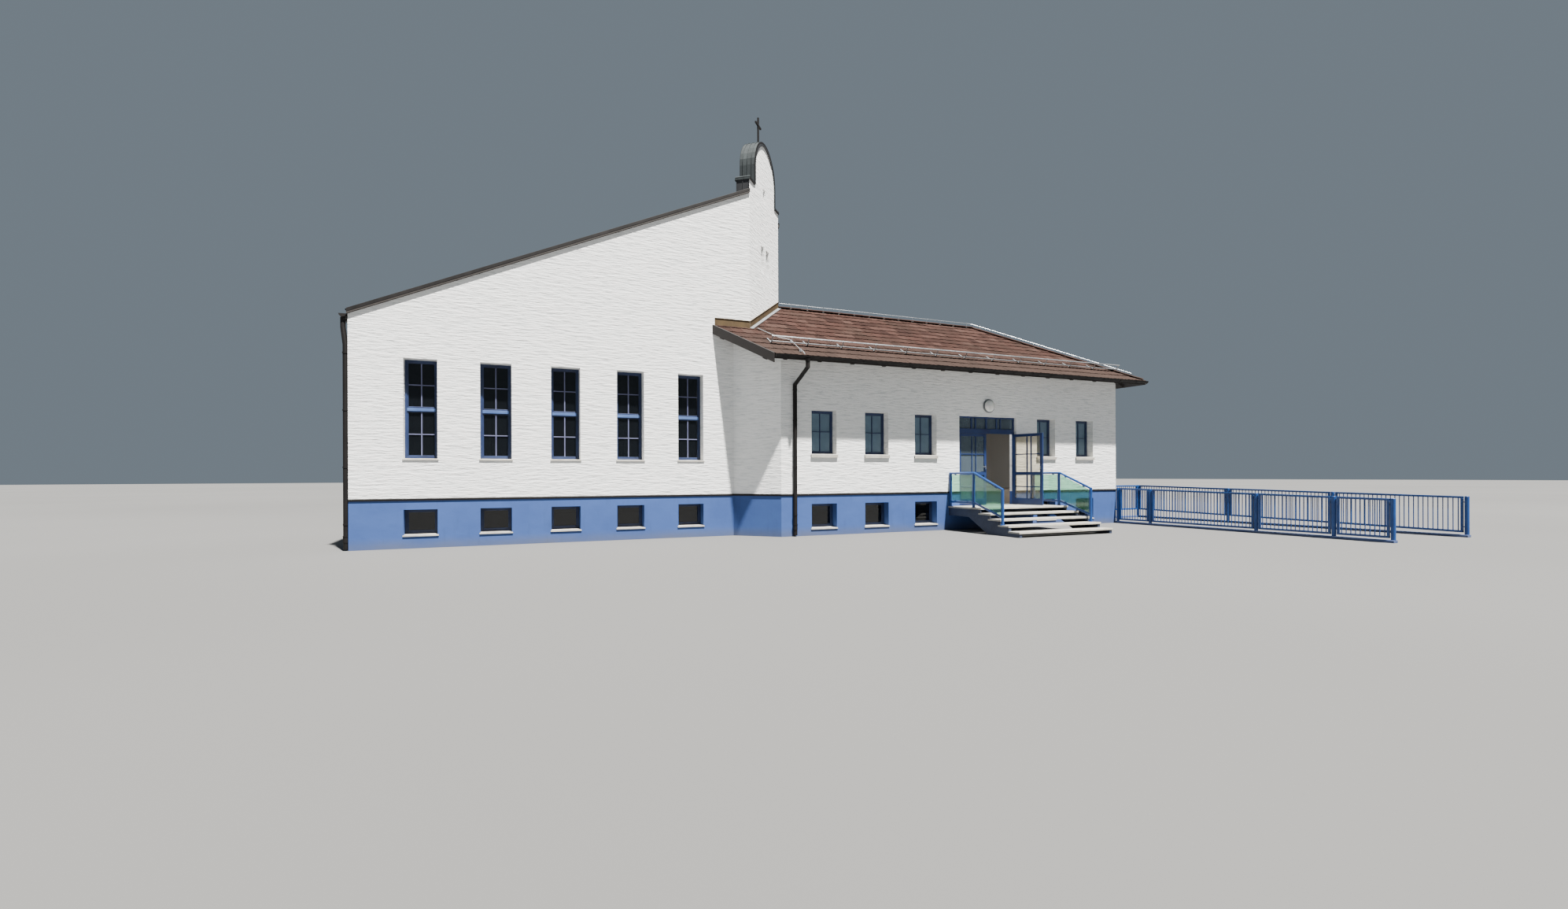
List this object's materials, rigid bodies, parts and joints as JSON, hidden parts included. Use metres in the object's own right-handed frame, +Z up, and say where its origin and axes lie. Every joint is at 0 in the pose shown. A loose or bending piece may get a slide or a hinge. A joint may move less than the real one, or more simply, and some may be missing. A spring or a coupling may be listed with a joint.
{
  "type": "modern church building",
  "caption": "Small modern church with a sloping nave, a bell gable over a cut corner, a hipped entrance wing, a stepped porch with glass balustrades and a fenced ramp.",
  "frame": {"origin": "on the underside of the nave's ground slab at ground level, inside the nave's front right part", "axes": "+X along the front walls towards the entrance wing and the ramp, -Y out of the front, +Z up"},
  "size_m": [24.6303, 19.2903, 11.6],
  "materials": {
    "stucco": "white horizontally textured render",
    "plinth": "matte blue masonry paint",
    "concrete": "light smooth concrete",
    "cap_metal": "satin grey-green weathered sheet",
    "dark_metal": "satin dark brown",
    "roof_tile": "matte weathered brown tile",
    "timber": "dark stained",
    "frame_blue": "satin dark blue paint",
    "rail_blue": "satin bright blue paint",
    "lamp": "opal glass"
  },
  "bodies": {
    "building": {"nave_front_plinth": "plinth", "nave_front_wall": "stucco", "nave_left_wall": "stucco", "nave_rear_wall": "stucco", "nave_right_wall": "stucco", "nave_floor": "concrete", "nave_ground_slab": "concrete", "nave_roof_left": "roof_tile", "nave_roof_rear": "roof_tile", "bell_gable_wall": "stucco", "gable_cap": "cap_metal", "cross": "dark_metal", "wing_front_plinth_left": "plinth", "wing_front_plinth_right": "plinth", "entrance_plinth": "plinth", "wing_splay_wall": "stucco", "wing_front_wall_left": "stucco", "wing_front_wall_right": "stucco", "wing_wall_over_entrance": "stucco", "wing_right_wall": "stucco", "wing_rear_wall": "stucco", "wing_floor_left": "concrete", "wing_floor_right": "concrete", "entrance_floor": "concrete", "wing_ground_slab": "concrete", "wing_roof_front": "roof_tile", "wing_roof_rear": "roof_tile", "wing_roof_hip": "roof_tile", "wing_verge_board": "timber", "nave_gutter": "dark_metal", "wing_front_gutter": "dark_metal", "wing_rear_gutter": "dark_metal", "nave_downpipe": "dark_metal", "wing_downpipe": "dark_metal", "nave_front_windows": "frame_blue", "nave_side_windows": "frame_blue", "nave_front_basement_windows": "frame_blue", "nave_side_basement_windows": "frame_blue", "wing_front_left_windows": "frame_blue", "wing_front_right_windows": "frame_blue", "wing_side_windows": "frame_blue", "wing_front_left_basement_windows": "frame_blue", "wing_front_right_basement_windows": "frame_blue", "wing_side_basement_windows": "frame_blue", "entrance_frame": "frame_blue", "wall_lamp": "lamp", "porch_landing": "concrete", "porch_tread_1": "concrete", "porch_tread_2": "concrete", "porch_tread_3": "concrete", "porch_tread_4": "concrete", "porch_frame": "rail_blue", "balustrade_left": "rail_blue", "balustrade_right": "rail_blue", "ramp_fence_near": "rail_blue", "ramp_fence_far": "rail_blue", "ramp_fence_back": "rail_blue"},
    "left_door": {"door_leaf_left": "frame_blue"},
    "right_door": {"door_leaf_right": "frame_blue"}
  },
  "joints": [
    {"name": "left_door_hinge", "type": "hinge", "parent": "building", "child": "left_door", "pos_m": [5.222, -4.358, 1.7], "axis": [0, 0, -1], "range_deg": [0, 105]},
    {"name": "right_door_hinge", "type": "hinge", "parent": "building", "child": "right_door", "pos_m": [7.232, -4.358, 1.7], "axis": [0, 0, 1], "range_deg": [-102, 3]}
  ]
}
